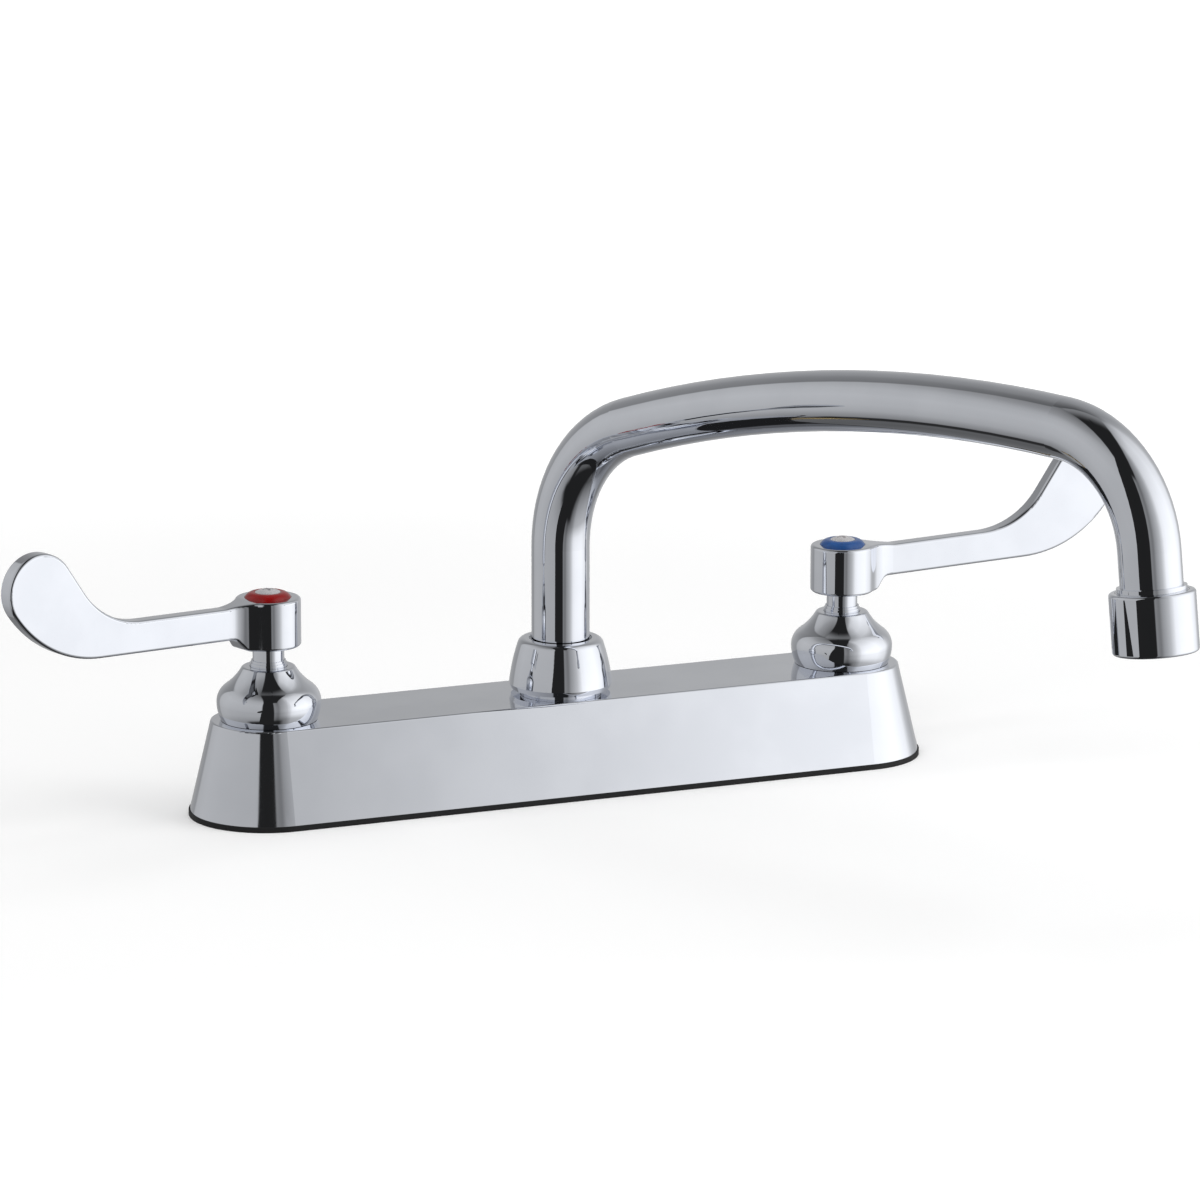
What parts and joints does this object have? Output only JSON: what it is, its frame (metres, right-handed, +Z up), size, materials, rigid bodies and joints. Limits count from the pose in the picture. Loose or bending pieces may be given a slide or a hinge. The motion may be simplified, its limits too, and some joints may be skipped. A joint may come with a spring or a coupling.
{
  "type": "deck-mount faucet",
  "caption": "Chrome deck-mount kitchen faucet with a long swivelling tube spout, aerator and a wrist-blade lever valve on either side.",
  "frame": {"origin": "middle of the gasket's underside, where the faucet sits on the deck, on the spout's axis", "axes": "+Z up out of the deck, -Y towards the user, +X along the body towards the cold valve"},
  "size_m": [0.4016, 0.2776, 0.2172],
  "materials": {
    "chrome": "polished chrome plate over brass",
    "brass": "plain machined brass",
    "stainless_steel": "plain stainless steel",
    "rubber": "black rubber",
    "index_red": "glossy dark red plastic",
    "index_blue": "glossy dark blue plastic",
    "ceramic": "lapped white ceramic",
    "acetal": "pale low friction plastic"
  },
  "bodies": {
    "deck": {"deck_body": "chrome", "deck_gasket": "rubber", "hot_inlet_shank": "brass", "hot_deck_washer": "stainless_steel", "hot_locknut": "brass", "hot_cartridge_body": "chrome", "hot_cartridge_gasket": "rubber", "hot_seat_seal": "rubber", "hot_fixed_disc": "ceramic", "hot_bonnet": "chrome", "cold_inlet_shank": "brass", "cold_deck_washer": "stainless_steel", "cold_locknut": "brass", "cold_cartridge_body": "chrome", "cold_cartridge_gasket": "rubber", "cold_seat_seal": "rubber", "cold_fixed_disc": "ceramic", "cold_bonnet": "chrome", "spout_washer_lower": "acetal", "spout_washer_upper": "acetal", "spout_nut": "chrome"},
    "spout": {"spout_sleeve": "brass", "spout_o_ring_lower": "rubber", "spout_o_ring_upper": "rubber", "spout_tube": "chrome", "spout_tip": "chrome", "aerator_housing": "chrome", "aerator_washer": "rubber", "aerator_insert": "acetal", "aerator_screen": "stainless_steel"},
    "hot_valve": {"hot_handle": "chrome", "hot_index_ring": "index_red", "hot_handle_screw": "stainless_steel", "hot_stem": "chrome", "hot_stem_o_ring": "rubber", "hot_moving_disc": "ceramic"},
    "cold_valve": {"cold_handle": "chrome", "cold_index_ring": "index_blue", "cold_handle_screw": "stainless_steel", "cold_stem": "chrome", "cold_stem_o_ring": "rubber", "cold_moving_disc": "ceramic"}
  },
  "joints": [
    {"name": "spout_swing", "type": "hinge", "parent": "deck", "child": "spout", "pos_m": [0, 0, 0.04], "axis": [0, 0, 1], "continuous": true},
    {"name": "hot_handle_turn", "type": "hinge", "parent": "deck", "child": "hot_valve", "pos_m": [-0.1016, 0, 0.06], "axis": [0, 0, 1], "range_deg": [0, 90]},
    {"name": "cold_handle_turn", "type": "hinge", "parent": "deck", "child": "cold_valve", "pos_m": [0.1016, 0, 0.06], "axis": [0, 0, 1], "range_deg": [-90, 0]}
  ]
}
